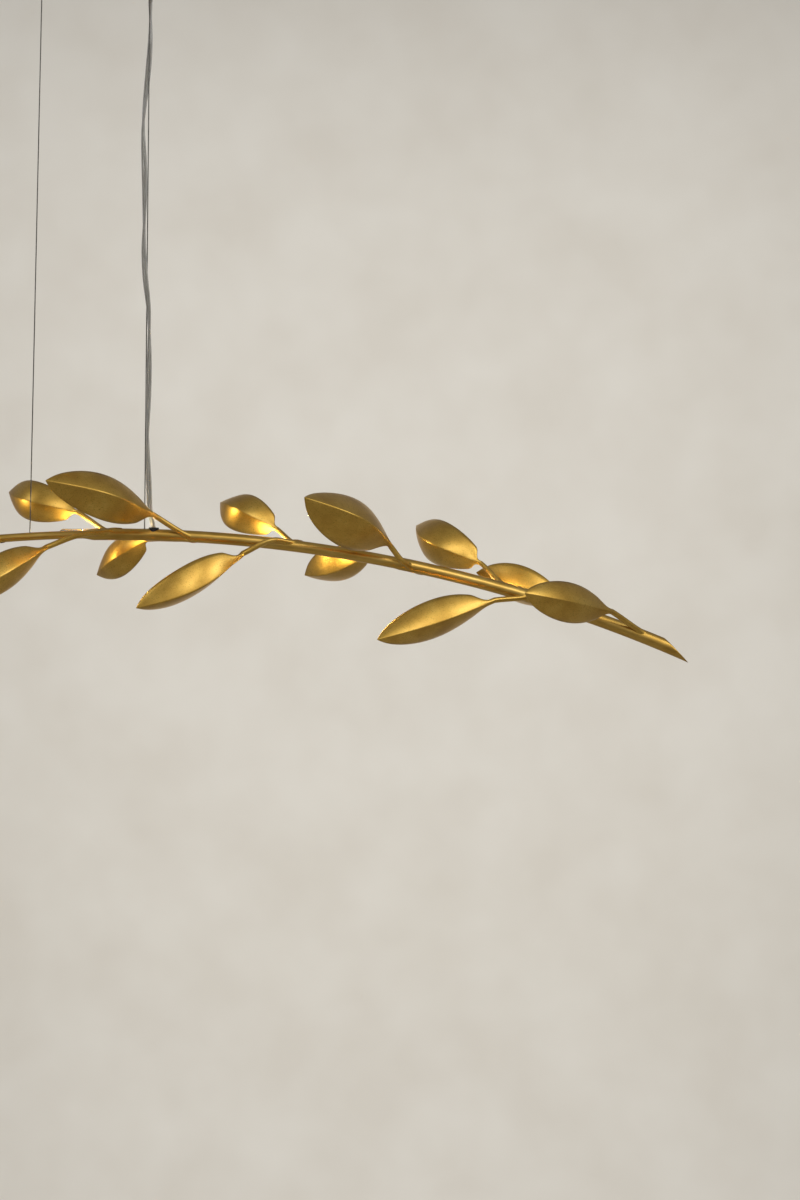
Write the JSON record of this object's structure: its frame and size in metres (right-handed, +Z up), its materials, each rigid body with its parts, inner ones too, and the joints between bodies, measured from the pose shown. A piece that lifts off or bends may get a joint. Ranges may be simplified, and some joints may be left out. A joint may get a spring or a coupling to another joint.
{
  "type": "pendant light",
  "caption": "Pendant light: gilded metal olive branch with folded leaves and hidden capsule lamps, hung on two thin steel wires from a round canopy, with a clear cord",
  "frame": {"origin": "middle of the ceiling bracket's upper face, which lies on the ceiling", "axes": "+Z up out of the ceiling face, +X towards the thick right end of the branch, +Y away from the viewer, so the front of the branch faces -Y"},
  "size_m": [1.1999, 0.1771, 0.7831],
  "materials": {
    "gold_leaf": "gilded, fine crackled leaf, satin",
    "gold_tube": "satin gold",
    "canopy_gold": "satin gold",
    "zinc_steel": "zinc plated",
    "brass_part": "satin",
    "wire_steel": "stranded steel",
    "spring_steel": "drawn wire",
    "clear_pvc": "clear flexible jacket over tinned copper",
    "black_rubber": "matt",
    "white_plastic": "moulded",
    "white_lead": "soft",
    "ceramic": "matt glazed",
    "bulb_glass": "clear capsule"
  },
  "bodies": {
    "ceiling_set": {"ceiling_bracket": "zinc_steel", "canopy_cup": "canopy_gold", "canopy_side_screws": "brass_part", "clevis_left": "brass_part", "clevis_right": "brass_part", "clevis_nuts": "zinc_steel", "clevis_pins": "zinc_steel", "led_driver": "white_plastic", "driver_screws": "zinc_steel", "terminal_block": "white_plastic", "terminal_screws": "brass_part", "earth_screw": "brass_part", "cord_bush": "black_rubber", "canopy_lead": "clear_pvc"},
    "grippers": {"gripper_barrel_left": "brass_part", "gripper_barrel_right": "brass_part", "wire_tails": "wire_steel"},
    "release_left": {"plunger_left": "brass_part", "spring_left": "spring_steel"},
    "release_right": {"plunger_right": "brass_part", "spring_right": "spring_steel"},
    "left_wire": {"wire_left": "wire_steel", "wire_stop_left": "wire_steel"},
    "right_wire": {"wire_right": "wire_steel", "wire_stop_right": "wire_steel", "power_cord": "clear_pvc"},
    "branch": {"cord_grommet": "black_rubber", "stem_base": "gold_tube", "stem_lower": "gold_tube", "stem_middle": "gold_tube", "stem_upper": "gold_tube", "stem_tip": "gold_tube", "stem_sleeves": "brass_part", "stem_reducers": "gold_tube", "stem_end_plate": "gold_tube", "stem_lead": "white_lead", "lamp_arms": "gold_tube", "lamp_sockets": "ceramic", "bulbs": "bulb_glass", "leaf_01": "gold_leaf", "leaf_02": "gold_leaf", "leaf_03": "gold_leaf", "leaf_04": "gold_leaf", "leaf_05": "gold_leaf", "leaf_06": "gold_leaf", "leaf_07": "gold_leaf", "leaf_08": "gold_leaf", "leaf_09": "gold_leaf", "leaf_10": "gold_leaf", "leaf_11": "gold_leaf", "leaf_12": "gold_leaf", "leaf_13": "gold_leaf", "leaf_14": "gold_leaf", "leaf_15": "gold_leaf", "leaf_16": "gold_leaf", "leaf_17": "gold_leaf", "leaf_18": "gold_leaf", "leaf_19": "gold_leaf", "leaf_20": "gold_leaf", "leaf_21": "gold_leaf"}
  },
  "joints": [
    {"name": "swing", "type": "hinge", "parent": "ceiling_set", "child": "grippers", "pos_m": [0, 0, -0.04], "axis": [1, 0, 0], "range_deg": [-12, 12], "deforming": ["power_cord"]},
    {"name": "sway", "type": "hinge", "parent": "grippers", "child": "left_wire", "pos_m": [-0.054, 0, -0.071], "axis": [0, 1, 0], "range_deg": [-8, 8], "deforming": ["power_cord"]},
    {"name": "right_wire_sway", "type": "hinge", "parent": "grippers", "child": "right_wire", "pos_m": [0.054, 0, -0.071], "axis": [0, 1, 0], "range_deg": [-8.2, 8.2], "deforming": ["power_cord"]},
    {"name": "branch_level", "type": "hinge", "parent": "left_wire", "child": "branch", "pos_m": [-0.05734, 0, -0.6126], "axis": [0, 1, 0], "range_deg": [-8, 8]},
    {"name": "release_left_push", "type": "slide", "parent": "grippers", "child": "release_left", "axis": [0, 0, 1], "range_m": [0, 0.0015], "stiffness_N_per_m": 150, "springref_m": -0.002, "deforming": ["spring_left"]},
    {"name": "release_right_push", "type": "slide", "parent": "grippers", "child": "release_right", "axis": [0, 0, 1], "range_m": [0, 0.0015], "stiffness_N_per_m": 150, "springref_m": -0.002, "deforming": ["spring_right"]}
  ],
  "couplings": [
    {"joint": "branch_level", "follows": "sway", "ratio": -0.94207},
    {"joint": "right_wire_sway", "follows": "sway", "ratio": 1.0099}
  ]
}
